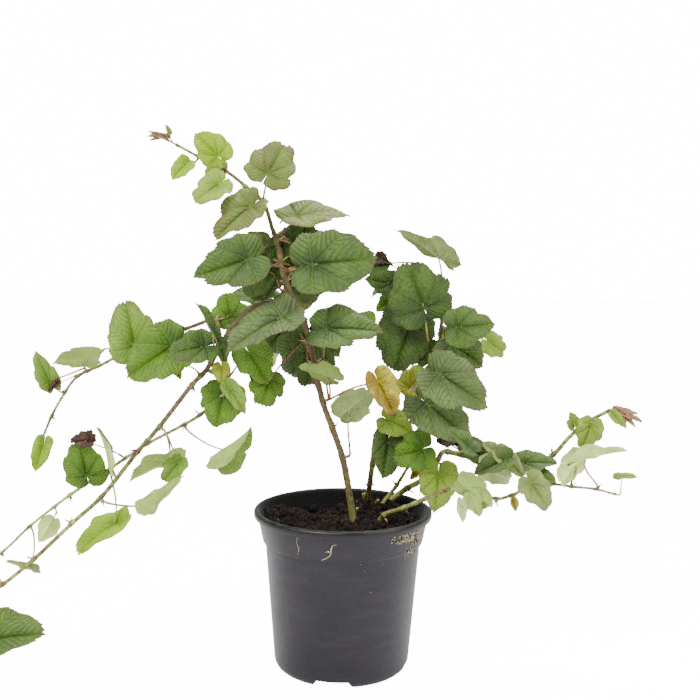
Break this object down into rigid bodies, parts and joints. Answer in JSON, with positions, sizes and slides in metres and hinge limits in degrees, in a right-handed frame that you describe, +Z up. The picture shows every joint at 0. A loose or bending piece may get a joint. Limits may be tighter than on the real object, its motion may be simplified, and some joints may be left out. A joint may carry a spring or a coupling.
{
  "type": "creeping raspberry plant in a nursery pot",
  "caption": "Low shrub with long leaning and trailing canes of heart-shaped, wrinkled leaves, rooted in compost in a round tapered plastic pot with a rolled rim.",
  "frame": {"origin": "centre of the pot's flat underside, on the ground", "axes": "+Z up along the pot, +X along the widest spread of the canes, -Y towards the fuller side of the foliage"},
  "size_m": [0.596, 0.2708, 0.4518],
  "materials": {
    "pot": "satin moulded plastic, dark grey, dusty",
    "soil": "moist, fibrous potting compost",
    "cane_bark": "thin bristly bark, olive green to red-brown",
    "foliage": "matte, wrinkled leaf, paler and felted beneath"
  },
  "bodies": {
    "root": {"back_left_shoot": "cane_bark", "back_left_shoot_leaves_1": "foliage", "back_left_shoot_leaves_2": "foliage", "back_right_shoot": "cane_bark", "back_right_shoot_leaves_1": "foliage", "back_right_shoot_leaves_2": "foliage", "left_cane": "cane_bark", "left_cane_leaves_1": "foliage", "left_cane_leaves_2": "foliage", "left_cane_leaves_3": "foliage", "left_cane_leaves_4": "foliage", "left_cane_leaves_5": "foliage", "left_lower_shoot": "cane_bark", "left_lower_shoot_leaves_1": "foliage", "left_lower_shoot_leaves_2": "foliage", "left_lower_shoot_leaves_3": "foliage", "left_lower_shoot_leaves_4": "foliage", "left_lower_shoot_leaves_5": "foliage", "left_lower_shoot_leaves_6": "foliage", "left_upper_shoot": "cane_bark", "left_upper_shoot_leaves_1": "foliage", "left_upper_shoot_leaves_2": "foliage", "left_upper_shoot_leaves_3": "foliage", "left_upper_shoot_leaves_4": "foliage", "left_upper_shoot_leaves_5": "foliage", "main_cane": "cane_bark", "main_cane_leaves_1": "foliage", "main_cane_leaves_10": "foliage", "main_cane_leaves_2": "foliage", "main_cane_leaves_3": "foliage", "main_cane_leaves_4": "foliage", "main_cane_leaves_5": "foliage", "main_cane_leaves_6": "foliage", "main_cane_leaves_7": "foliage", "main_cane_leaves_8": "foliage", "main_cane_leaves_9": "foliage", "pot": "pot", "right_cane": "cane_bark", "right_cane_leaves_1": "foliage", "right_cane_leaves_2": "foliage", "right_cane_leaves_3": "foliage", "right_cane_leaves_4": "foliage", "right_cane_leaves_5": "foliage", "right_cane_leaves_6": "foliage", "right_trailing_cane": "cane_bark", "right_trailing_cane_leaves_1": "foliage", "right_trailing_cane_leaves_2": "foliage", "right_trailing_cane_leaves_3": "foliage", "right_trailing_cane_leaves_4": "foliage", "right_trailing_cane_leaves_5": "foliage", "runner_cane": "cane_bark", "runner_cane_leaves_1": "foliage", "runner_cane_leaves_2": "foliage", "runner_cane_leaves_3": "foliage", "runner_cane_leaves_4": "foliage", "runner_cane_leaves_5": "foliage", "short_stem": "cane_bark", "short_stem_leaves_1": "foliage", "soil": "soil"}
  },
  "joints": []
}
